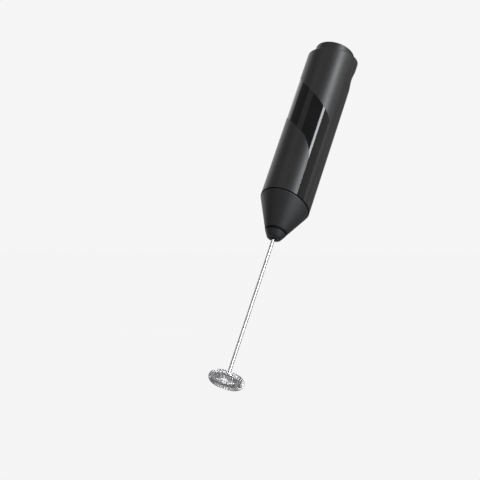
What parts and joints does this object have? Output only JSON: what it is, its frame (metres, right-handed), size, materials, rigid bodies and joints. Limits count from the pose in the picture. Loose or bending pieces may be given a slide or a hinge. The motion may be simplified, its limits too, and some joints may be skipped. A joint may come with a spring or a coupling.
{
  "type": "handheld milk frother",
  "caption": "Handheld battery milk frother: round barrel with slide-off battery door, top push button, tapered nose and a thin shaft ending in a coil ring whisk.",
  "frame": {"origin": "on the barrel axis, 57.5 mm above the middle of the collar, about half-way up the barrel", "axes": "+Z along the axis towards the button, +Y towards the battery door, the whisk hangs towards -Z"},
  "size_m": [0.0324, 0.0324, 0.244],
  "materials": {
    "matte_black": "fine satin texture",
    "gloss_black": "polished piano black",
    "button_black": "satin",
    "gasket_rubber": "soft matte",
    "steel": "bright drawn stainless",
    "spring_steel": "nickel plated",
    "brass": "turned",
    "bronze": "sintered",
    "copper": "enamelled wire",
    "ferrite": "fired ceramic ferrite",
    "zinc_can": "zinc plated pressed steel",
    "tray_white": "natural moulded",
    "cell_jacket": "printed sleeve, plain",
    "screw_steel": "zinc plated"
  },
  "bodies": {
    "handle": {"battery_left": "cell_jacket", "battery_right": "cell_jacket", "battery_tray": "tray_white", "bus_strip_negative": "brass", "bus_strip_positive": "brass", "button_guide": "tray_white", "button_spring": "spring_steel", "contact_bridge": "spring_steel", "contact_bridge_spring": "spring_steel", "contact_negative": "spring_steel", "contact_negative_spring": "spring_steel", "contact_positive": "spring_steel", "front_shell": "matte_black", "gloss_inlay": "gloss_black", "motor_brush_left": "brass", "motor_brush_right": "brass", "motor_can": "zinc_can", "motor_cup": "tray_white", "motor_end_cap": "tray_white", "motor_front_bearing": "bronze", "motor_magnet_left": "ferrite", "motor_magnet_right": "ferrite", "motor_rear_bearing": "bronze", "motor_screws": "screw_steel", "motor_terminal_negative": "brass", "motor_terminal_positive": "brass", "nose_cone": "matte_black", "nose_gasket": "gasket_rubber", "nose_tip": "matte_black", "shaft_bush": "bronze", "switch_housing": "button_black", "switch_terminal": "brass"},
    "door": {"battery_door": "matte_black"},
    "button": {"power_button": "button_black", "switch_plunger": "tray_white"},
    "rotor": {"motor_shaft": "steel", "armature_core": "zinc_can", "armature_windings": "copper", "commutator": "brass", "shaft_coupler": "brass", "whisk_shaft": "steel", "whisk_ring": "steel", "whisk_coil": "steel"}
  },
  "joints": [
    {"name": "button_press", "type": "slide", "parent": "handle", "child": "button", "axis": [0, 0, 1], "range_m": [-0.0025, 0], "stiffness_N_per_m": 600, "springref_m": 0.002, "deforming": ["button_spring"]},
    {"name": "door_slide", "type": "slide", "parent": "handle", "child": "door", "axis": [0, 0, 1], "range_m": [0, 0.085]},
    {"name": "whisk_spin", "type": "hinge", "parent": "handle", "child": "rotor", "pos_m": [0, 0, 0], "axis": [0, 0, 1], "continuous": true}
  ]
}
